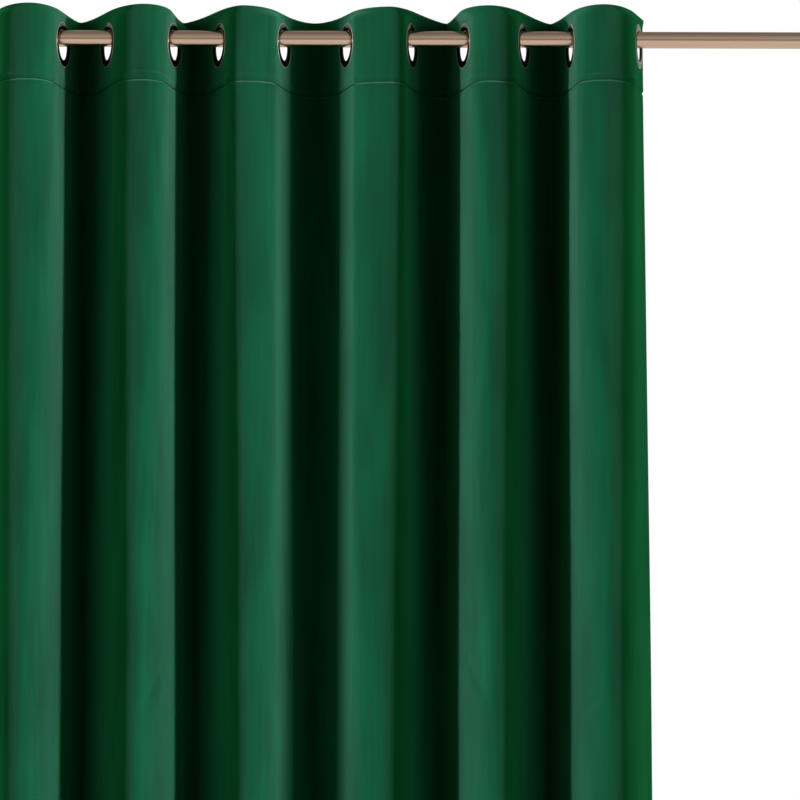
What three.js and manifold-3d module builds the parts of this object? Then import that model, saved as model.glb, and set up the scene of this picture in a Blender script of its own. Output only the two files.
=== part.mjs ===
// An eyelet curtain in velvet, hung on a plain round rod. Millimetres, +Z up.
// The rod runs along +X from its left end face, whose centre is the origin. The room is on the -Y side.
// Ridges of the cloth stand out in front of the rod, recesses lie behind it, and the rod passes
// through a ring at each change from one to the other.

import * as THREE from 'three';
import { mergeVertices } from 'three/addons/utils/BufferGeometryUtils.js';
import Module from 'manifold-3d';

// Rod
const rodDiameter = 22;
const rodLength = 1200;
const rodChamfer = 1;
const rodSides = 32;

// Cloth
const curtainMiddle = 500; // along the rod, from its left end
const clothThickness = 2;
const curtainDrop = 2450; // top edge to hem
const topAboveRod = 34; // top edge above the rod's axis
const headingHeight = 100; // stitched band that the rings sit in
const seamGap = 0.3; // between pieces that touch
const sideMargin = 35; // cloth beyond the centre of each outer ring
const settledDrop = 1015; // below the rod, where the folds have taken their final shape
const panelRowsBelowRod = [380, 700, 1015, 1700];

// Rings
const ringBore = 40;
const ringOuter = 60;
const ringSeat = 48; // diameter that fits in the punched hole
const ringRise = 1.3; // of the ring's face over the cloth, at its bore
const ringRim = 0.6; // thickness of the flange at its rim
const ringEase = 0.7; // rounding of the bore's edges
const ringRestGap = 0.6; // between the top of the bore and the rod that carries it
const ringSides = 24;
const punchLength = 12; // reaches through the cloth but not to the next fold
const mergeDistance = 1e-4;

// How far each side of a ring the cloth stays straight: at the ring, at the top edge and lower down
const straight = { ring: 31, lip: 14, settled: 14 };

// Roundness of each bend: 0 is a sharp crease, and 0.55 is close to an ellipse
const bendRoundness = 0.6;
const bendSteps = 5;

// Rings from left to right, measured from the middle of the curtain.
// at: where the rod crosses the cloth. lean: the angle in degrees between cloth and rod there.
// lip and lipLean: how far the top edge above the ring stands aside, and its own angle.
// settledLean: the angle where the folds have settled.
const crossings = [
  { at: -427, lean: 76, lip: 0, lipLean: 70, settledLean: 70 },
  { at: -335.5, lean: 76, lip: 1, lipLean: 76, settledLean: 65 },
  { at: -275.5, lean: 70, lip: -4, lipLean: 64, settledLean: 67 },
  { at: -188, lean: 75, lip: -1, lipLean: 82, settledLean: 65 },
  { at: -127, lean: 72, lip: -9, lipLean: 62, settledLean: 67 },
  { at: -42, lean: 73, lip: -2, lipLean: 66, settledLean: 67 },
  { at: 42.5, lean: 73, lip: 2, lipLean: 66, settledLean: 69 },
  { at: 128.5, lean: 74, lip: 10, lipLean: 61, settledLean: 68 },
  { at: 198.5, lean: 75, lip: -8, lipLean: 80, settledLean: 66 },
  { at: 277.5, lean: 72, lip: 4, lipLean: 62, settledLean: 67 },
  { at: 341, lean: 83, lip: -4, lipLean: 76, settledLean: 66 },
  { at: 431, lean: 76, lip: -2, lipLean: 70, settledLean: 70 },
];

// The bends between those rings, ridge and recess in turn.
// at, lipAt and settledAt: the middle of the bend at the rings, at the top edge and lower down.
// out: how far it stands in front of the rod's axis, or behind it where negative.
const bends = [
  { at: -376.5, lipAt: -376.5, settledAt: -380, out: 62 },
  { at: -313, lipAt: -316, settledAt: -305.5, out: -55 },
  { at: -225.5, lipAt: -225.5, settledAt: -230, out: 57 },
  { at: -167, lipAt: -177, settledAt: -157.5, out: -55 },
  { at: -95, lipAt: -95, settledAt: -86, out: 50 },
  { at: 0, lipAt: 0, settledAt: 0.5, out: -55 },
  { at: 99, lipAt: 99, settledAt: 86, out: 45 },
  { at: 174, lipAt: 178, settledAt: 163.5, out: -55 },
  { at: 229.5, lipAt: 229.5, settledAt: 237, out: 54 },
  { at: 316, lipAt: 318, settledAt: 309, out: -55 },
  { at: 381, lipAt: 381, settledAt: 385, out: 62 },
];

// Heights worked out from the rod's axis at z = 0
const rodRadius = rodDiameter / 2;
const ringHeight = rodRadius + ringRestGap - ringBore / 2;
const lipStart = ringHeight + ringOuter / 2 + seamGap;
const headingBottom = topAboveRod - headingHeight;
const panelTop = headingBottom - seamGap;
const hemHeight = topAboveRod - curtainDrop;

const colours = {
  velvet: 0x0a4a32,
  heading: 0x0b432e,
  ring: 0x4a4038,
  rod: 0xa58f7c,
};

const wasm = await Module();
wasm.setup();

// The folds at one height, as a chain of straight flanks and round bends seen from above
function foldChain(height) {
  const lip = THREE.MathUtils.smoothstep(height, lipStart, topAboveRod);
  const settled = THREE.MathUtils.smoothstep(-height, -panelTop, settledDrop);
  const between = (ring, top, low) => ring + (top - ring) * lip + (low - ring) * settled;
  const hold = between(straight.ring, straight.lip, straight.settled);
  const chain = [];

  crossings.forEach((row, index) => {
    const side = index % 2 === 0 ? -1 : 1; // the cloth comes forward at every other ring
    const angle = THREE.MathUtils.degToRad(between(row.lean, row.lipLean, row.settledLean));
    const foot = new THREE.Vector2(between(row.at, row.at + row.lip, row.at), 0);
    const along = new THREE.Vector2(Math.cos(angle), side * Math.sin(angle));
    const flankPoint = (distance) => foot.clone().addScaledVector(along, distance);

    // From one straight flank to the middle of a bend, or back
    const addBend = (bend, way) => {
      const out = Math.abs(bend.out);
      const crest = new THREE.Vector2(between(bend.at, bend.lipAt, bend.settledAt), -bend.out);
      const start = flankPoint(way * hold);
      const corner = flankPoint((way * out) / Math.sin(angle));
      const startHandle = start.clone().lerp(corner, bendRoundness);
      const crestHandle = crest.clone().lerp(corner, bendRoundness);
      if (way > 0) {
        const curve = new THREE.CubicBezierCurve(start, startHandle, crestHandle, crest);
        chain.push({ curve: new THREE.LineCurve(foot, start), steps: 1 });
        chain.push({ curve, steps: bendSteps });
      } else {
        const curve = new THREE.CubicBezierCurve(crest, crestHandle, startHandle, start);
        chain.push({ curve, steps: bendSteps });
        chain.push({ curve: new THREE.LineCurve(start, foot), steps: 1 });
      }
    };

    if (index === 0) {
      chain.push({ curve: new THREE.LineCurve(flankPoint(-sideMargin), foot), steps: 1 });
    } else {
      addBend(bends[index - 1], -1);
    }
    if (index === crossings.length - 1) {
      chain.push({ curve: new THREE.LineCurve(foot, flankPoint(sideMargin)), steps: 1 });
    } else {
      addBend(bends[index], 1);
    }
  });
  return chain;
}

// Points across the cloth at one height, each with the direction that faces the back of the cloth
function foldStations(height) {
  const chain = foldChain(height);
  const stations = [];
  const addStation = (curve, share) => {
    const tangent = curve.getTangent(share);
    stations.push({ point: curve.getPoint(share), back: new THREE.Vector2(-tangent.y, tangent.x) });
  };
  for (const { curve, steps } of chain) {
    for (let step = 0; step < steps; step += 1) {
      addStation(curve, step / steps);
    }
  }
  addStation(chain[chain.length - 1].curve, 1);
  return stations;
}

// A length of cloth that hangs in the folds, from the lowest height to the highest
function hangingCloth(heights) {
  const rows = heights.map((height) => foldStations(height));
  const columns = rows[0].length - 1;
  const geometry = new THREE.BoxGeometry(1, 1, 1, columns, 1, heights.length - 1);
  const position = geometry.attributes.position;
  for (let index = 0; index < position.count; index += 1) {
    const row = Math.round((position.getZ(index) + 0.5) * (heights.length - 1));
    const column = Math.round((position.getX(index) + 0.5) * columns);
    const { point, back } = rows[row][column];
    const offset = position.getY(index) * clothThickness;
    const x = curtainMiddle + point.x + back.x * offset;
    const y = point.y + back.y * offset;
    position.setXYZ(index, x, y, heights[row]);
  }
  return geometry;
}

// Turn about +Z that sets a ring's flat against the cloth
function ringTurn(index) {
  const side = index % 2 === 0 ? -1 : 1;
  return side * THREE.MathUtils.degToRad(crossings[index].lean);
}

// Closed mesh to solid, with the vertices that its faces share merged
function toSolid(geometry) {
  const bare = geometry.clone();
  bare.deleteAttribute('normal');
  bare.deleteAttribute('uv');
  const merged = mergeVertices(bare, mergeDistance);
  const vertProperties = new Float32Array(merged.attributes.position.array);
  const triVerts = new Uint32Array(merged.index.array);
  return new wasm.Manifold(new wasm.Mesh({ numProp: 3, vertProperties, triVerts }));
}

function toGeometry(solid) {
  const mesh = solid.getMesh();
  const geometry = new THREE.BufferGeometry();
  geometry.setAttribute('position', new THREE.BufferAttribute(mesh.vertProperties, mesh.numProp));
  geometry.setIndex(new THREE.BufferAttribute(mesh.triVerts, 1));
  geometry.computeVertexNormals();
  return geometry;
}

// The band with a round hole punched for each ring, square to the cloth
function headingGeometry() {
  const punchRadius = ringSeat / 2 + seamGap;
  let band = toSolid(hangingCloth([headingBottom, lipStart, topAboveRod]));
  crossings.forEach((row, index) => {
    const punch = new THREE.CylinderGeometry(punchRadius, punchRadius, punchLength, ringSides);
    punch.rotateZ(ringTurn(index));
    punch.translate(curtainMiddle + row.at, 0, ringHeight);
    band = band.subtract(toSolid(punch));
  });
  return toGeometry(band);
}

function toPoints(profile) {
  return profile.map(([radius, along]) => new THREE.Vector2(radius, along));
}

// A ring turned about +Y: two dished flanges on a short neck, with a groove that holds the cloth
function ringGeometry() {
  const bore = ringBore / 2;
  const rim = ringOuter / 2;
  const seat = ringSeat / 2;
  const groove = clothThickness / 2 + seamGap;
  const face = clothThickness / 2 + ringRise;
  const frontHalf = [
    [bore, face - ringEase],
    [bore + ringEase, face],
    [rim, groove + ringRim],
    [rim, groove],
    [seat, groove],
  ];
  const backHalf = frontHalf.map(([radius, depth]) => [radius, -depth]);
  const profile = [frontHalf[0], ...backHalf, ...frontHalf.toReversed()];
  return new THREE.LatheGeometry(toPoints(profile), ringSides);
}

function rodGeometry() {
  const profile = [
    [0, 0],
    [rodRadius - rodChamfer, 0],
    [rodRadius, rodChamfer],
    [rodRadius, rodLength - rodChamfer],
    [rodRadius - rodChamfer, rodLength],
    [0, rodLength],
  ];
  const geometry = new THREE.LatheGeometry(toPoints(profile), rodSides);
  geometry.rotateZ(-Math.PI / 2);
  return geometry;
}

function addPiece(group, name, geometry, color, roughness, metalness) {
  const piece = new THREE.Mesh(geometry, new THREE.MeshStandardMaterial({ color, roughness, metalness }));
  piece.name = name;
  group.add(piece);
  return piece;
}

const curtain = new THREE.Group();

const panelHeights = [hemHeight, ...panelRowsBelowRod.map((drop) => -drop).reverse(), panelTop];
addPiece(curtain, 'curtain_panel', hangingCloth(panelHeights), colours.velvet, 0.9, 0);
addPiece(curtain, 'heading_band', headingGeometry(), colours.heading, 0.9, 0);

const ring = ringGeometry();
crossings.forEach((row, index) => {
  const name = `eyelet_ring_${String(index + 1).padStart(2, '0')}`;
  const piece = addPiece(curtain, name, ring, colours.ring, 0.3, 1);
  piece.position.set(curtainMiddle + row.at, 0, ringHeight);
  piece.rotation.z = ringTurn(index);
});

addPiece(curtain, 'curtain_rod', rodGeometry(), colours.rod, 0.35, 1);

export default curtain;
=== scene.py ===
# A velvet eyelet curtain on a round rod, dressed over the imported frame.
# Metres, +Z up. The rod's axis lies on z = 0 along +X, and the room is on the -Y side.
import math

import bmesh
import bpy
from mathutils import Matrix, Vector, noise


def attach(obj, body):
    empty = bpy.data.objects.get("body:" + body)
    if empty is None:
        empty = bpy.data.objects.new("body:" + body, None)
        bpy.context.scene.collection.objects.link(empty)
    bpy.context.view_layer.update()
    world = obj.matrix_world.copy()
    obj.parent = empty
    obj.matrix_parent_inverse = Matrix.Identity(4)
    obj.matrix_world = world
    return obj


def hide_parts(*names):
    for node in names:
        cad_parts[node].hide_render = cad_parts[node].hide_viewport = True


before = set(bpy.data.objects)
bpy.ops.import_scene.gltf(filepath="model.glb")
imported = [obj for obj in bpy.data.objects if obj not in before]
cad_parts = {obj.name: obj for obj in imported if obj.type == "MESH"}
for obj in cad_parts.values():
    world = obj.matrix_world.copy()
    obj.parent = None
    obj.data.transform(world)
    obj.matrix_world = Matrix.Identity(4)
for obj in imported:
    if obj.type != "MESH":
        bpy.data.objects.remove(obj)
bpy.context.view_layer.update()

mm = 0.001


folds = {
    "middle": 500,  # mm along the rod, as every length in this table
    "topEdge": 34,
    "headingBottom": -66,
    "hem": -2416,
    "ringHeight": -8.9,
    "lipStart": 21.9,  # where the top edge starts to stand aside
    "settledDrop": 1015,
    "panelTop": -66.3,
    "sideMargin": 35,
    "roundness": 0.6,
    "straightAtRing": 31,
    "straightBelow": 14,
}

crossingColumns = ("at", "lean", "lip", "lipLean", "settledLean")
crossings = [
    (-427, 76, 0, 70, 70),
    (-335.5, 76, 1, 76, 65),
    (-275.5, 70, -4, 64, 67),
    (-188, 75, -1, 82, 65),
    (-127, 72, -9, 62, 67),
    (-42, 73, -2, 66, 67),
    (42.5, 73, 2, 66, 69),
    (128.5, 74, 10, 61, 68),
    (198.5, 75, -8, 80, 66),
    (277.5, 72, 4, 62, 67),
    (341, 83, -4, 76, 66),
    (431, 76, -2, 70, 70),
]
crossings = [dict(zip(crossingColumns, row)) for row in crossings]

bendColumns = ("at", "lipAt", "settledAt", "out")
bends = [
    (-376.5, -376.5, -380, 62),
    (-313, -316, -305.5, -55),
    (-225.5, -225.5, -230, 57),
    (-167, -177, -157.5, -55),
    (-95, -95, -86, 50),
    (0, 0, 0.5, -55),
    (99, 99, 86, 45),
    (174, 178, 163.5, -55),
    (229.5, 229.5, 237, 54),
    (316, 318, 309, -55),
    (381, 381, 385, 62),
]
bends = [dict(zip(bendColumns, row)) for row in bends]


def smoothStep(value, low, high):
    share = min(max((value - low) / (high - low), 0), 1)
    return share * share * (3 - 2 * share)


def bezier(a, b, c, d, t):
    s = 1 - t
    point = a * s**3 + b * (3 * s * s * t) + c * (3 * s * t * t) + d * t**3
    slope = (b - a) * (3 * s * s) + (c - b) * (6 * s * t) + (d - c) * (3 * t * t)
    return point, slope


# The cloth at one height, seen from above: a point and a front direction for each column
def foldLine(height, flankSteps, bendSteps, marginSteps):
    lip = smoothStep(height, folds["lipStart"], folds["topEdge"])
    settled = smoothStep(-height, -folds["panelTop"], folds["settledDrop"])

    def between(ring, top, low):
        return ring + (top - ring) * lip + (low - ring) * settled

    hold = between(folds["straightAtRing"], folds["straightBelow"], folds["straightBelow"])
    line = []

    def addPoint(point, slope):
        front = Vector((slope.y, -slope.x)).normalized()
        line.append((Vector((folds["middle"] + point.x, point.y)), front))

    for index, row in enumerate(crossings):
        side = -1 if index % 2 == 0 else 1
        angle = math.radians(between(row["lean"], row["lipLean"], row["settledLean"]))
        foot = Vector((between(row["at"], row["at"] + row["lip"], row["at"]), 0))
        along = Vector((math.cos(angle), side * math.sin(angle)))

        def bendCurve(bend, way):
            crest = Vector((between(bend["at"], bend["lipAt"], bend["settledAt"]), -bend["out"]))
            start = foot + along * way * hold
            corner = foot + along * way * abs(bend["out"]) / math.sin(angle)
            first = start.lerp(corner, folds["roundness"])
            last = crest.lerp(corner, folds["roundness"])
            return start, first, last, crest

        if index == 0:
            for step in range(marginSteps):
                addPoint(foot - along * folds["sideMargin"] * (1 - step / marginSteps), along)
        else:
            start, first, last, crest = bendCurve(bends[index - 1], -1)
            for step in range(bendSteps):
                addPoint(*bezier(crest, last, first, start, step / bendSteps))
            for step in range(flankSteps):
                addPoint(start.lerp(foot, step / flankSteps), along)
        if index == len(crossings) - 1:
            for step in range(marginSteps + 1):
                addPoint(foot + along * folds["sideMargin"] * step / marginSteps, along)
        else:
            start, first, last, crest = bendCurve(bends[index], 1)
            for step in range(flankSteps):
                addPoint(foot.lerp(start, step / flankSteps), along)
            for step in range(bendSteps):
                addPoint(*bezier(start, first, last, crest, step / bendSteps))
    return line


# Distance along the cloth from its left edge to each point of a fold line
def runningLength(line):
    total = 0
    lengths = [0]
    for (before, _), (after, _) in zip(line, line[1:]):
        total += (after - before).length
        lengths.append(total)
    return lengths


# Creases in the hanging cloth, each a soft trough or ridge.
# along: mm from the left edge on the cloth, height: of its middle, rise: towards the room,
# tilt: degrees, 0 for an upright crease and 90 for one that lies level
creaseColumns = ("along", "height", "halfLength", "halfWidth", "rise", "tilt")
creases = [
    (132, -886, 30, 5, -1.1, 73),
    (140, -896, 34, 9, 0.8, 70),
    (424, -866, 52, 5, -1.3, -37),
    (434, -880, 52, 9, 1.0, -37),
    (447, -836, 10, 5, -1.3, -10),
    (1180, -855, 50, 5, -1.3, 44),
    (1170, -868, 50, 9, 1.0, 44),
    (1152, -826, 10, 5, -1.3, 10),
    (1470, -880, 32, 5, -1.1, -69),
    (1464, -891, 34, 9, 0.8, -69),
    (1458, -924, 12, 5, -1.0, 30),
    (415, -54, 46, 2.2, -1.3, 90),
    (412, -57.5, 38, 2.2, 0.7, 90),
    (399, -60.5, 20, 1.8, -0.9, 90),
    (903, -58, 30, 3, 0.5, 86),
    (665, -55, 34, 2.4, -0.8, 92),
    (1192, -55, 34, 2.4, -0.8, 88),
    (1486, -56, 30, 2.2, -0.7, 92),
]
creases = [dict(zip(creaseColumns, row)) for row in creases]


def creaseRise(along, height):
    rise = 0
    for crease in creases:
        tilt = math.radians(crease["tilt"])
        x = along - crease["along"]
        z = height - crease["height"]
        across = (x * math.cos(tilt) + z * math.sin(tilt)) / crease["halfWidth"]
        down = (z * math.cos(tilt) - x * math.sin(tilt)) / crease["halfLength"]
        if abs(across) < 3 and abs(down) < 1:
            rise += crease["rise"] * math.exp(-across * across) * (1 - down * down) ** 2
    return rise


# Long, slow unevenness that hanging velvet has between its folds
swell = {"width": 90, "drop": 420, "rise": 1.4, "from": 60, "full": 260, "seed": 3.1}


def swellRise(along, height):
    place = Vector((along / swell["width"], height / swell["drop"], swell["seed"]))
    fade = smoothStep(-height, swell["from"], swell["full"])
    return swell["rise"] * noise.noise(place) * fade


seam = {
    "joint": -65.6, "depth": 1.2, "halfWidth": 1.7,
    "swollen": 0.55, "swellAt": 4, "swellWidth": 2.4, "uneven": 1.5,
    "pucker": 0.45, "puckerPitch": 13, "puckerReach": 10, "puckerDrop": 22, "seed": 8.7,
}


# The seam under the heading draws the cloth in, with a soft roll and small puckers on each side
def seamRise(along, height):
    away = height - seam["joint"]
    groove = -seam["depth"] * math.exp(-(away / seam["halfWidth"]) ** 2)
    roll = seam["swollen"] * math.exp(-((abs(away) - seam["swellAt"]) / seam["swellWidth"]) ** 2)
    near = math.exp(-(away / seam["puckerReach"]) ** 2)
    place = Vector((along / seam["puckerPitch"], height / seam["puckerDrop"], seam["seed"]))
    wave = noise.noise(place)
    return groove + roll * (1 + seam["uneven"] * wave) + 2 * seam["pucker"] * near * wave


def clothRise(along, height):
    return creaseRise(along, height) + swellRise(along, height) + seamRise(along, height)


# Hangs a flat grid in the folds. rows: heights from low to high. behind: for a height, how many mm
# the surface lies behind the middle of the cloth
def hangGrid(rows, flankSteps, bendSteps, marginSteps, behind):
    lines = [foldLine(height, flankSteps, bendSteps, marginSteps) for height in rows]
    cut = runningLength(foldLine(-folds["settledDrop"], flankSteps, bendSteps, marginSteps))
    columns = len(cut) - 1
    cloth = bmesh.new()
    bmesh.ops.create_grid(cloth, x_segments=columns, y_segments=len(rows) - 1, size=0.5)
    uvLayer = cloth.loops.layers.uv.new("cloth")
    places = {}
    for vert in cloth.verts:
        column = round((vert.co.x + 0.5) * columns)
        row = round((vert.co.y + 0.5) * (len(rows) - 1))
        point, front = lines[row][column]
        rise = clothRise(cut[column], rows[row])
        point = point + front * (rise - behind(rows[row]))
        vert.co = Vector((point.x, point.y, rows[row])) * mm
        places[vert] = (cut[column] * mm, rows[row] * mm)
    for face in cloth.faces:
        for loop in face.loops:
            loop[uvLayer].uv = places[loop.vert]
    return cloth


def finishMesh(source, name, materials):
    mesh = bpy.data.meshes.new(name)
    source.to_mesh(mesh)
    source.free()
    for material in materials:
        mesh.materials.append(material)
    mesh.shade_smooth()
    piece = bpy.data.objects.new(name, mesh)
    bpy.context.collection.objects.link(piece)
    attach(piece, "root")
    return piece


def addThickness(piece, thickness, edgeRound, reverse=0):
    solidify = piece.modifiers.new("thickness", "SOLIDIFY")
    solidify.thickness = thickness * mm
    solidify.offset = -1
    solidify.use_quality_normals = True
    solidify.material_offset = reverse
    bevel = piece.modifiers.new("softEdge", "BEVEL")
    bevel.width = edgeRound * mm
    bevel.segments = 2
    bevel.limit_method = "ANGLE"
    bevel.angle_limit = math.radians(60)


def bevelSharp(shape, width):
    sharp = [edge for edge in shape.edges
             if edge.is_manifold and edge.calc_face_angle() > math.radians(28)]
    bmesh.ops.bevel(shape, geom=sharp, offset=width * mm, segments=2, affect="EDGES",
                    profile=0.5, material=-1)


def evenSteps(low, high, step):
    count = max(1, round((high - low) / step))
    return [low + (high - low) * index / count for index in range(count + 1)]


def srgb(code):
    channels = [int(code[index:index + 2], 16) / 255 for index in (1, 3, 5)]
    linear = [c / 12.92 if c <= 0.04045 else ((c + 0.055) / 1.055) ** 2.4 for c in channels]
    return (*linear, 1)


def addNode(tree, kind, settings=None, inputs=None):
    node = tree.nodes.new(kind)
    for name, value in (settings or {}).items():
        setattr(node, name, value)
    for name, value in (inputs or {}).items():
        if isinstance(value, bpy.types.NodeSocket):
            tree.links.new(value, node.inputs[name])
        else:
            node.inputs[name].default_value = value
    return node


def newMaterial(name):
    material = bpy.data.materials.new(name)
    material.use_nodes = True
    material.node_tree.nodes.clear()
    return material, material.node_tree


# Cut-pile velvet in polyester, dyed and brushed down: nearly black-green where the pile is seen
# end on, and a pale bloom where light runs along its tips. Streaks show where the nap has turned.
velvet = {
    "deep": "#003820",
    "lit": "#00573a",
    "bloom": "#c4fffa",
    "streakWidth": 7,
    "streakLength": 130,
    "patchWidth": 42,
    "patchLength": 190,
    "pile": 1.4,  # the pile is 0.3 mm thick, drawn coarser so that it shows
    "roughness": 0.75,
    "sheen": 0.44,
    "sheenRoughness": 0.6,
    "patchShare": 0.62,
    "deepest": 0.3,  # the nap noise runs from the deep colour here to the lit one at brightest
    "brightest": 0.7,
    "bump": 0.35,
    "bumpHeight": 0.25,
}


def makeVelvet():
    material, tree = newMaterial("cutPileVelvet")
    cloth = addNode(tree, "ShaderNodeUVMap", {"uv_map": "cloth"})
    streakPlace = addNode(tree, "ShaderNodeMapping", inputs={
        "Vector": cloth.outputs["UV"],
        "Scale": (1 / (velvet["streakWidth"] * mm), 1 / (velvet["streakLength"] * mm), 1)})
    streak = addNode(tree, "ShaderNodeTexNoise", inputs={
        "Vector": streakPlace.outputs["Vector"], "Scale": 1, "Detail": 3, "Roughness": 0.55})
    patchPlace = addNode(tree, "ShaderNodeMapping", inputs={
        "Vector": cloth.outputs["UV"],
        "Scale": (1 / (velvet["patchWidth"] * mm), 1 / (velvet["patchLength"] * mm), 1)})
    patch = addNode(tree, "ShaderNodeTexNoise", inputs={
        "Vector": patchPlace.outputs["Vector"], "Scale": 1, "Detail": 2, "Roughness": 0.5})
    nap = addNode(tree, "ShaderNodeMix", {"data_type": "FLOAT"}, {
        "Factor": velvet["patchShare"], "A": streak.outputs["Fac"], "B": patch.outputs["Fac"]})
    ramp = addNode(tree, "ShaderNodeValToRGB", inputs={"Fac": nap.outputs["Result"]})
    ramp.color_ramp.elements[0].position = velvet["deepest"]
    ramp.color_ramp.elements[0].color = srgb(velvet["deep"])
    ramp.color_ramp.elements[1].position = velvet["brightest"]
    ramp.color_ramp.elements[1].color = srgb(velvet["lit"])
    pile = addNode(tree, "ShaderNodeTexNoise", inputs={
        "Vector": cloth.outputs["UV"], "Scale": 1 / (velvet["pile"] * mm),
        "Detail": 2, "Roughness": 0.6})
    pileBump = addNode(tree, "ShaderNodeBump", inputs={
        "Strength": velvet["bump"], "Distance": velvet["bumpHeight"] * mm,
        "Height": pile.outputs["Fac"]})
    shader = addNode(tree, "ShaderNodeBsdfPrincipled", inputs={
        "Base Color": ramp.outputs["Color"],
        "Roughness": velvet["roughness"],
        "Specular IOR Level": 0.0,
        "Sheen Weight": velvet["sheen"],
        "Sheen Roughness": velvet["sheenRoughness"],
        "Sheen Tint": srgb(velvet["bloom"]),
        "Normal": pileBump.outputs["Normal"]})
    addNode(tree, "ShaderNodeOutputMaterial", inputs={"Surface": shader.outputs["BSDF"]})
    return material


# Polyester ground weave on the reverse: flat, matte, a little greyer than the pile
backing = {"warp": "#0d3a29", "weft": "#15513a", "thread": 1.6, "roughness": 0.9}


def makeBacking():
    material, tree = newMaterial("wovenBacking")
    cloth = addNode(tree, "ShaderNodeUVMap", {"uv_map": "cloth"})
    place = addNode(tree, "ShaderNodeMapping", inputs={
        "Vector": cloth.outputs["UV"],
        "Scale": (1 / (backing["thread"] * mm),) * 2 + (1,)})
    threads = []
    for direction in ("X", "Y"):
        wave = addNode(tree, "ShaderNodeTexWave", {"bands_direction": direction}, {
            "Vector": place.outputs["Vector"], "Scale": 0.5, "Distortion": 0.6, "Detail": 1})
        threads.append(wave.outputs["Fac"])
    weave = addNode(tree, "ShaderNodeMath", {"operation": "MULTIPLY"})
    tree.links.new(threads[0], weave.inputs[0])
    tree.links.new(threads[1], weave.inputs[1])
    ramp = addNode(tree, "ShaderNodeValToRGB", inputs={"Fac": weave.outputs["Value"]})
    ramp.color_ramp.elements[0].color = srgb(backing["warp"])
    ramp.color_ramp.elements[1].color = srgb(backing["weft"])
    bump = addNode(tree, "ShaderNodeBump", inputs={
        "Strength": 0.4, "Distance": 0.2 * mm, "Height": weave.outputs["Value"]})
    shader = addNode(tree, "ShaderNodeBsdfPrincipled", inputs={
        "Base Color": ramp.outputs["Color"], "Roughness": backing["roughness"],
        "Specular IOR Level": 0.2, "Sheen Weight": 0.15, "Normal": bump.outputs["Normal"]})
    addNode(tree, "ShaderNodeOutputMaterial", inputs={"Surface": shader.outputs["BSDF"]})
    return material


# Spun polyester thread, matt and a shade lighter than the velvet it sinks into
thread = {"shade": "#06301f", "light": "#1b5a41", "twist": 0.5, "roughness": 0.6}


def makeThread():
    material, tree = newMaterial("spunPolyesterThread")
    coords = addNode(tree, "ShaderNodeTexCoord")
    twist = addNode(tree, "ShaderNodeTexNoise", inputs={
        "Vector": coords.outputs["Object"], "Scale": 1 / (thread["twist"] * mm), "Detail": 2})
    ramp = addNode(tree, "ShaderNodeValToRGB", inputs={"Fac": twist.outputs["Fac"]})
    ramp.color_ramp.elements[0].color = srgb(thread["shade"])
    ramp.color_ramp.elements[1].color = srgb(thread["light"])
    shader = addNode(tree, "ShaderNodeBsdfPrincipled", inputs={
        "Base Color": ramp.outputs["Color"], "Roughness": thread["roughness"],
        "Specular IOR Level": 0.3})
    addNode(tree, "ShaderNodeOutputMaterial", inputs={"Surface": shader.outputs["BSDF"]})
    return material


# Pressed brass with black nickel plate, polished: mirrors the dark folds, with fine handling marks.
# Its rolled rim is a lighter nickel, a painted highlight for the light line along the ring's edge.
ringFinish = {"plate": "#2a2420", "worn": "#453c34", "roughness": 0.17}
# The rim's lighter nickel is a painted highlight: the light line along the ring's edge
rimFinish = {"plate": "#b3ad9e", "worn": "#d2ccbd", "roughness": 0.5}


def makeRingMetal(name, finish):
    material, tree = newMaterial(name)
    coords = addNode(tree, "ShaderNodeTexCoord")
    marks = addNode(tree, "ShaderNodeTexNoise", inputs={
        "Vector": coords.outputs["Object"], "Scale": 1 / (6 * mm), "Detail": 4, "Roughness": 0.6})
    ramp = addNode(tree, "ShaderNodeValToRGB", inputs={"Fac": marks.outputs["Fac"]})
    ramp.color_ramp.elements[0].color = srgb(finish["plate"])
    ramp.color_ramp.elements[1].color = srgb(finish["worn"])
    gloss = addNode(tree, "ShaderNodeMapRange", inputs={
        "Value": marks.outputs["Fac"], "To Min": finish["roughness"] * 0.8,
        "To Max": finish["roughness"] * 1.5})
    shader = addNode(tree, "ShaderNodeBsdfPrincipled", inputs={
        "Base Color": ramp.outputs["Color"], "Metallic": 1, "Roughness": gloss.outputs["Result"]})
    addNode(tree, "ShaderNodeOutputMaterial", inputs={"Surface": shader.outputs["BSDF"]})
    return material


# Drawn steel tube, nickel plated and brushed lengthwise: satin, with a warm cast
rodFinish = {
    "light": "#dcc0a8", "dark": "#c0a088", "grain": 0.8, "grainLength": 90, "roughness": 0.22,
}


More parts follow.
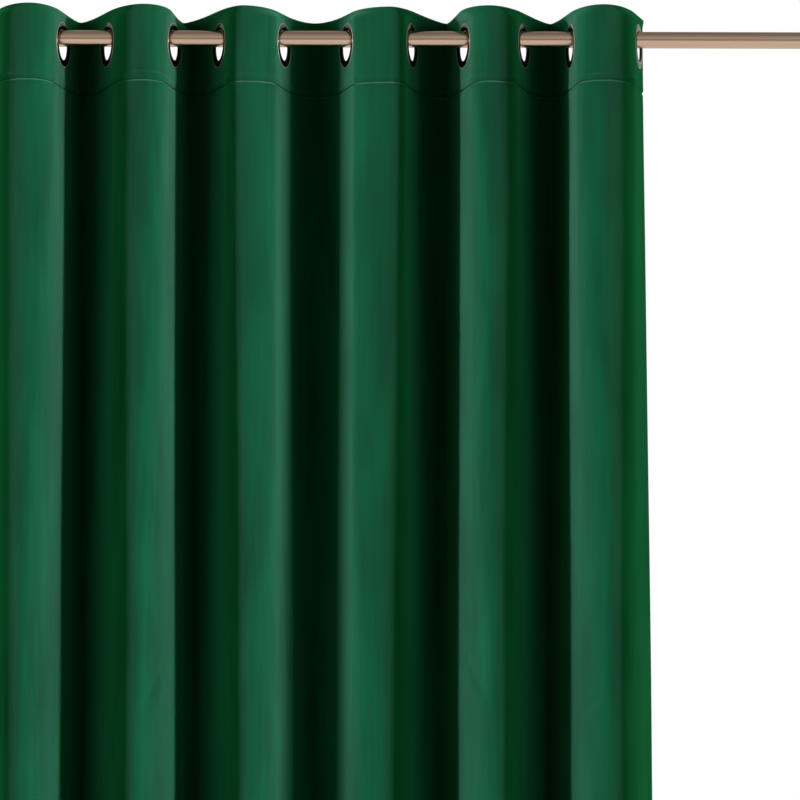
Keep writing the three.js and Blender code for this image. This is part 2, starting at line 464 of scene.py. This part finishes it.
def makeRodMetal():
    material, tree = newMaterial("brushedNickelTube")
    coords = addNode(tree, "ShaderNodeTexCoord")
    place = addNode(tree, "ShaderNodeMapping", inputs={
        "Vector": coords.outputs["Object"],
        "Scale": (1 / (rodFinish["grainLength"] * mm),) + (1 / (rodFinish["grain"] * mm),) * 2})
    grain = addNode(tree, "ShaderNodeTexNoise", inputs={
        "Vector": place.outputs["Vector"], "Scale": 1, "Detail": 3, "Roughness": 0.6})
    ramp = addNode(tree, "ShaderNodeValToRGB", inputs={"Fac": grain.outputs["Fac"]})
    ramp.color_ramp.elements[0].color = srgb(rodFinish["dark"])
    ramp.color_ramp.elements[1].color = srgb(rodFinish["light"])
    gloss = addNode(tree, "ShaderNodeMapRange", inputs={
        "Value": grain.outputs["Fac"], "To Min": rodFinish["roughness"] * 0.8,
        "To Max": rodFinish["roughness"] * 1.25})
    bump = addNode(tree, "ShaderNodeBump", inputs={
        "Strength": 0.15, "Distance": 0.05 * mm, "Height": grain.outputs["Fac"]})
    shader = addNode(tree, "ShaderNodeBsdfPrincipled", inputs={
        "Base Color": ramp.outputs["Color"], "Metallic": 1, "Roughness": gloss.outputs["Result"],
        "Normal": bump.outputs["Normal"]})
    addNode(tree, "ShaderNodeOutputMaterial", inputs={"Surface": shader.outputs["BSDF"]})
    return material


velvetCloth = makeVelvet()
wovenBacking = makeBacking()
sewingThread = makeThread()
ringMetal = makeRingMetal("blackNickelPlate", ringFinish)
# Lighter metal for the rim, a painted edge highlight
rimMetal = makeRingMetal("rimHighlightNickel", rimFinish)
rodMetal = makeRodMetal()
print("materials made")


panel = {
    "rowStep": 28, "fineStep": 5, "creased": (-950, -800), "seamStep": 7, "seamStart": -180,
    "flankSteps": 4, "bendSteps": 11, "marginSteps": 6,
    "thickness": 1.4, "edgeRound": 0.5, "flatWidth": 1.65, "flatDrop": 2.35,
    # rows close to the panel's top, as drops below it and rises above it
    "topDrops": (10, 7, 5, 3.6, 2.6, 2, 1.4, 0.8, 0.2), "topRises": (1.2, 3.2),
    "tuck": 2.3, "tuckStart": 2.6, "tuckEnd": 0.2,
}

panelRows = evenSteps(folds["hem"], panel["creased"][0], panel["rowStep"])[:-1]
panelRows += evenSteps(*panel["creased"], panel["fineStep"])[:-1]
panelRows += evenSteps(panel["creased"][1], panel["seamStart"], panel["rowStep"])[:-1]
panelRows += evenSteps(panel["seamStart"], folds["panelTop"] - 14, panel["seamStep"])
panelRows += [folds["panelTop"] - drop for drop in panel["topDrops"]]
panelRows += [folds["panelTop"] + rise for rise in panel["topRises"]]


# The top of the panel goes up behind the heading that it is sewn to. It has moved back before it
# reaches the heading's lower edge, so the two don't cross.
def panelBehind(height):
    tucked = smoothStep(height, folds["panelTop"] - panel["tuckStart"],
                        folds["panelTop"] - panel["tuckEnd"])
    return -panel["thickness"] / 2 + panel["tuck"] * tucked


panelCloth = hangGrid(panelRows, panel["flankSteps"], panel["bendSteps"], panel["marginSteps"],
                      panelBehind)
curtainPanel = finishMesh(panelCloth, "velvetPanel", [velvetCloth, wovenBacking])
addThickness(curtainPanel, panel["thickness"], panel["edgeRound"], reverse=1)
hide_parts("curtain_panel")
print("panel hung")


heading = {
    "rowStep": 2.6, "seamStep": 1.4, "seamTop": -50, "flankSteps": 10, "bendSteps": 11,
    "marginSteps": 12, "thickness": 1.7, "edgeRound": 0.7, "holeRadius": 25.4,
    "flatWidth": 1.68, "flatDrop": 0.1,
}


def ringFrame(index):
    row = crossings[index]
    side = -1 if index % 2 == 0 else 1
    turn = side * math.radians(row["lean"])
    centre = Vector((folds["middle"] + row["at"], 0, folds["ringHeight"])) * mm
    return Matrix.Translation(centre) @ Matrix.Rotation(turn, 4, "Z")


def punchHoles(cloth, radius):
    for index in range(len(crossings)):
        toRing = ringFrame(index).inverted()

        def fromCentre(point):
            local = toRing @ point
            if abs(local.y) > 8 * mm:
                return 1
            return math.hypot(local.x, local.z)

        inside = [face for face in cloth.faces if fromCentre(face.calc_center_median()) < radius]
        bmesh.ops.delete(cloth, geom=inside, context="FACES")
        for vert in cloth.verts:
            if vert.is_boundary and fromCentre(vert.co) < radius * 1.25:
                local = toRing @ vert.co
                reach = radius / math.hypot(local.x, local.z)
                vert.co = ringFrame(index) @ Vector((local.x * reach, local.y, local.z * reach))


headingRows = evenSteps(folds["headingBottom"], heading["seamTop"], heading["seamStep"])[:-1]
headingRows += evenSteps(heading["seamTop"], folds["topEdge"], heading["rowStep"])
headingCloth = hangGrid(headingRows, heading["flankSteps"], heading["bendSteps"],
                        heading["marginSteps"], lambda height: -heading["thickness"] / 2)
punchHoles(headingCloth, heading["holeRadius"] * mm)
headingBand = finishMesh(headingCloth, "velvetHeading", [velvetCloth])
addThickness(headingBand, heading["thickness"], heading["edgeRound"])
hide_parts("heading_band")
print("heading hung and punched")


# The turned hems: cloth doubled behind the panel, 23 mm at the sides and 80 mm at the bottom
hems = {
    "side": 23, "bottom": 80, "thickness": 1.2, "edgeRound": 0.4, "gap": 0.5, "topStop": 3.5,
    "rowStep": 40, "lowStep": 13,
}


def hemGrid(rows):
    return hangGrid(rows, panel["flankSteps"], panel["bendSteps"],
                    panel["marginSteps"], lambda height: panel["thickness"] / 2 + hems["gap"])


def makeHems():
    rows = evenSteps(folds["hem"] + hems["bottom"] + 1, panel["seamStart"], hems["rowStep"])[:-1]
    # Near the seam the hems need the panel's own rows, or its swelling would come through them
    top = folds["panelTop"] - hems["topStop"]
    rows += [row for row in panelRows if panel["seamStart"] <= row <= top]
    turned = hemGrid(rows)
    uvLayer = turned.loops.layers.uv["cloth"]
    width = max(loop[uvLayer].uv.x for face in turned.faces for loop in face.loops)
    edge = (hems["side"] + 4) * mm
    between = [face for face in turned.faces
               if any(edge < loop[uvLayer].uv.x < width - edge for loop in face.loops)]
    bmesh.ops.delete(turned, geom=between, context="FACES")
    low = hemGrid(evenSteps(folds["hem"] + 0.4, folds["hem"] + hems["bottom"], hems["lowStep"]))
    spare = bpy.data.meshes.new("spare")
    low.to_mesh(spare)
    low.free()
    turned.from_mesh(spare)
    bpy.data.meshes.remove(spare)
    piece = finishMesh(turned, "turnedHems", [velvetCloth])
    addThickness(piece, hems["thickness"], hems["edgeRound"])
    return piece


turnedHems = makeHems()
print("hems turned")


# Sewn rows of short stitches, each one a bead of thread that sinks into the pile
stitch = {
    "length": 2.6, "thickness": 0.5, "pitch": 4, "proud": 0.1, "hemAbove": 76, "seamAbove": 3.2,
    "fromEdge": 3,
}


# Place, front direction and run of the cloth, at a length along it
def clothPlace(line, cut, along, height):
    index = next(i for i in range(1, len(cut)) if cut[i] >= along or i == len(cut) - 1)
    share = (along - cut[index - 1]) / (cut[index] - cut[index - 1])
    (before, frontBefore), (after, frontAfter) = line[index - 1], line[index]
    front = frontBefore.lerp(frontAfter, share).normalized()
    point = before.lerp(after, share) + front * (clothRise(along, height) + stitch["proud"])
    run = (after - before).normalized()
    return Vector((point.x, point.y, height)), Vector((front.x, front.y, 0)), run


def addStitch(threads, place, front, run):
    turn = Matrix((run, front, run.cross(front))).transposed().to_4x4()
    across = stitch["thickness"] / 2
    size = Matrix.Diagonal((stitch["length"] / 2, across, across, 1))
    matrix = Matrix.Translation(place * mm) @ turn @ size @ Matrix.Scale(mm, 4)
    bmesh.ops.create_icosphere(threads, subdivisions=1, radius=1, matrix=matrix)


def makeStitches():
    threads = bmesh.new()
    steps = (panel["flankSteps"], panel["bendSteps"], panel["marginSteps"])
    cut = runningLength(foldLine(-folds["settledDrop"], *steps))

    def sewLevel(height, surface):
        line = foldLine(height, *steps)
        for index in range(int((cut[-1] - 4) / stitch["pitch"])):
            along = stitch["fromEdge"] + index * stitch["pitch"]
            place, front, run = clothPlace(line, cut, along, height)
            addStitch(threads, place + front * surface, front, Vector((run.x, run.y, 0)))

    sewLevel(seam["joint"] + stitch["seamAbove"], heading["thickness"] / 2)
    sewLevel(folds["hem"] + stitch["hemAbove"], panel["thickness"] / 2)
    height = folds["hem"] + stitch["hemAbove"] + stitch["pitch"]
    while height < folds["panelTop"] - stitch["pitch"]:
        line = foldLine(height, *steps)
        inset = hems["side"] - stitch["fromEdge"]
        for along in (inset, cut[-1] - inset):
            place, front, _ = clothPlace(line, cut, along, height)
            addStitch(threads, place + front * panel["thickness"] / 2, front, Vector((0, 0, 1)))
        height += stitch["pitch"]
    piece = finishMesh(threads, "sewnStitches", [sewingThread])
    return piece


sewnStitches = makeStitches()
print("stitches sewn")


ring = {
    "steps": 72,
    # half of the section, from the middle of the bore to the middle of the neck: radius, along
    "section": [
        (20, 0), (20, 0.5), (20.3, 1.05), (21, 1.5), (22.4, 1.85), (24.6, 1.9), (27, 1.6),
        (28.4, 1.25), (28.7, 1.2), (28.9, 1.45), (29.4, 1.6), (29.9, 1.4), (30, 1.1),
        (29.7, 0.92), (24, 0.9), (24, 0),
    ],
    "bevel": 0.12,
    # The rim's lighter metal past this radius is a painted highlight along the ring's edge
    "rim": 28.8,  # past this radius the plate is the lighter, rolled rim
}


def makeRing(index):
    half = ring["section"]
    points = half + [(radius, -along) for radius, along in reversed(half[1:-1])]
    shape = bmesh.new()
    verts = [shape.verts.new(Vector((radius, along, 0)) * mm) for radius, along in points]
    for first, second in zip(verts, verts[1:] + verts[:1]):
        shape.edges.new((first, second))
    bmesh.ops.spin(shape, geom=verts + shape.edges[:], cent=(0, 0, 0), axis=(0, 1, 0),
                   angle=math.tau, steps=ring["steps"], use_merge=True)
    bmesh.ops.recalc_face_normals(shape, faces=shape.faces[:])
    bevelSharp(shape, ring["bevel"])
    # Faces past the rim radius take the lighter metal, a painted highlight along the ring's edge
    for face in shape.faces:
        middle = face.calc_center_median()
        face.material_index = int(math.hypot(middle.x, middle.z) > ring["rim"] * mm)
    bmesh.ops.transform(shape, matrix=ringFrame(index), verts=shape.verts)
    name = f"eyeletRing{index + 1:02d}"
    piece = finishMesh(shape, name, [ringMetal, rimMetal])
    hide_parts(f"eyelet_ring_{index + 1:02d}")
    return piece


rings = [makeRing(index) for index in range(len(crossings))]
print("rings pressed")


rod = {
    "length": 1200, "radius": 11, "chamfer": 0.8, "wall": 1.2, "capDepth": 0.5, "sides": 96,
    "bevel": 0.2, "endPart": 40,
}


def makeRod():
    half = rod["length"] / 2
    inner = rod["radius"] - rod["wall"]
    section = [
        (0, half - rod["capDepth"]), (inner, half - rod["capDepth"]), (inner, half),
        (rod["radius"] - rod["chamfer"], half), (rod["radius"], half - rod["chamfer"]),
        (rod["radius"], half - rod["endPart"]),
    ]
    points = section + [(radius, -along) for radius, along in reversed(section)]
    shape = bmesh.new()
    verts = [shape.verts.new(Vector((along, radius, 0)) * mm) for radius, along in points]
    for first, second in zip(verts, verts[1:]):
        shape.edges.new((first, second))
    bmesh.ops.spin(shape, geom=verts + shape.edges[:], cent=(0, 0, 0), axis=(1, 0, 0),
                   angle=math.tau, steps=rod["sides"], use_merge=True)
    bmesh.ops.remove_doubles(shape, verts=shape.verts, dist=0.001 * mm)
    bmesh.ops.recalc_face_normals(shape, faces=shape.faces[:])
    bevelSharp(shape, rod["bevel"])
    bmesh.ops.translate(shape, vec=(half * mm, 0, 0), verts=shape.verts)
    piece = finishMesh(shape, "brushedRod", [rodMetal])
    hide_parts("curtain_rod")
    return piece


makeRod()
print("rod drawn")


stage = {"floor": -2.428, "floorSize": 14, "floorTone": "#6a6967", "floorGlow": "#b4b2ae"}


def makeFloor():
    material, tree = newMaterial("paleFloor")
    shader = addNode(tree, "ShaderNodeBsdfPrincipled", inputs={
        "Base Color": srgb(stage["floorTone"]), "Roughness": 0.8,
        "Emission Color": srgb(stage["floorGlow"]), "Emission Strength": 1})
    addNode(tree, "ShaderNodeOutputMaterial", inputs={"Surface": shader.outputs["BSDF"]})
    shape = bmesh.new()
    bmesh.ops.create_grid(shape, x_segments=2, y_segments=2, size=stage["floorSize"] / 2)
    bmesh.ops.translate(shape, vec=(0.5, 0, stage["floor"]), verts=shape.verts)
    mesh = bpy.data.meshes.new("floor")
    shape.to_mesh(mesh)
    shape.free()
    mesh.materials.append(material)
    floor = bpy.data.objects.new("floor", mesh)
    bpy.context.collection.objects.link(floor)
    floor.visible_glossy = False  # metals mirror the soft studio, not the floor's edge
    floor.visible_diffuse = False  # it glows, so that it stays neutral under the green fill


# The fill is green, as light is that has gone from fold to fold of the same velvet
fillLight = {"front": 0.05, "side": 1.05, "tint": "#78ffa8"}
# What metals mirror: height in the studio from its floor, 0, to its ceiling, 1, and the tone there
mirrored = [
    (0.0, 0.85), (0.3, 0.9), (0.39, 0.2), (0.45, 0.3), (0.62, 0.6), (0.86, 0.36), (1.0, 0.24),
]


def makeWorld():
    world = bpy.data.worlds.new("studio")
    bpy.context.scene.world = world
    world.use_nodes = True
    tree = world.node_tree
    tree.nodes.clear()
    path = addNode(tree, "ShaderNodeLightPath")
    coords = addNode(tree, "ShaderNodeTexCoord")
    split = addNode(tree, "ShaderNodeSeparateXYZ", inputs={"Vector": coords.outputs["Generated"]})
    height = addNode(tree, "ShaderNodeMapRange", inputs={
        "Value": split.outputs["Z"], "From Min": -1, "From Max": 1})
    ramp = addNode(tree, "ShaderNodeValToRGB", inputs={"Fac": height.outputs["Result"]})
    while len(ramp.color_ramp.elements) < len(mirrored):
        ramp.color_ramp.elements.new(0.5)
    for element, (place, tone) in zip(ramp.color_ramp.elements, mirrored):
        element.position = place
        element.color = (tone, tone, tone, 1)
    sideways = addNode(tree, "ShaderNodeMath", {"operation": "POWER"})
    tree.links.new(split.outputs["X"], sideways.inputs[0])
    sideways.inputs[1].default_value = 2
    fill = addNode(tree, "ShaderNodeMapRange", inputs={
        "Value": sideways.outputs["Value"], "To Min": fillLight["front"],
        "To Max": fillLight["side"]})
    green = addNode(tree, "ShaderNodeMix", {"data_type": "RGBA", "blend_type": "MULTIPLY"}, {
        "Factor": 1})
    tree.links.new(fill.outputs["Result"], green.inputs[6])
    green.inputs[7].default_value = srgb(fillLight["tint"])
    soft = addNode(tree, "ShaderNodeMix", {"data_type": "RGBA"}, {
        "Factor": path.outputs["Is Glossy Ray"]})
    tree.links.new(green.outputs[2], soft.inputs[6])
    tree.links.new(ramp.outputs["Color"], soft.inputs[7])
    seen = addNode(tree, "ShaderNodeMix", {"data_type": "RGBA"}, {
        "Factor": path.outputs["Is Camera Ray"]})
    tree.links.new(soft.outputs[2], seen.inputs[6])
    seen.inputs[7].default_value = (1, 1, 1, 1)
    background = addNode(tree, "ShaderNodeBackground", inputs={
        "Color": seen.outputs[2], "Strength": 1})
    addNode(tree, "ShaderNodeOutputWorld", inputs={"Surface": background.outputs["Background"]})


lights = [
    # name, place, looks at, width, height, watts, spread in degrees
    ("leftHalfPanel", (0.86, -0.451, -1.1), (0.28, -0.06, -1.1), 0.32, 3.2, 3.0, 8),
    ("rightHalfPanel", (0.14, -0.451, -1.1), (0.72, -0.06, -1.1), 0.32, 3.2, 2.6, 8),
    ("backPanel", (0.5, 2.6, 0.6), (0.5, 0, -1.2), 2.0, 2.0, 30, 180),
]


def makeLights():
    for name, place, target, width, height, watts, spread in lights:
        lamp = bpy.data.lights.new(name, "AREA")
        lamp.shape = "RECTANGLE"
        lamp.size = width
        lamp.size_y = height
        lamp.energy = watts
        lamp.spread = math.radians(spread)
        piece = bpy.data.objects.new(name, lamp)
        bpy.context.collection.objects.link(piece)
        piece.location = place
        piece.rotation_euler = (Vector(target) - Vector(place)).to_track_quat("-Z", "Y").to_euler()
        piece.visible_camera = False
        piece.visible_glossy = name != "backPanel"  # it would draw a white line along the rod


view = {"place": (0.5, -4.5, -1.019), "pitch": 6.78, "turn": 0.72, "lens": 155, "shift": 0.0532}


def makeCamera():
    lens = bpy.data.cameras.new("camera")
    lens.lens = view["lens"]
    lens.sensor_width = 36
    lens.shift_x = view["shift"]
    lens.clip_start = 0.05
    lens.clip_end = 60
    camera = bpy.data.objects.new("camera", lens)
    bpy.context.collection.objects.link(camera)
    camera.location = view["place"]
    camera.rotation_euler = (math.radians(90 + view["pitch"]), 0, math.radians(-view["turn"]))
    bpy.context.scene.camera = camera


makeFloor()
makeWorld()
makeLights()
makeCamera()
bpy.context.scene.view_settings.view_transform = "Standard"
print("stage set")
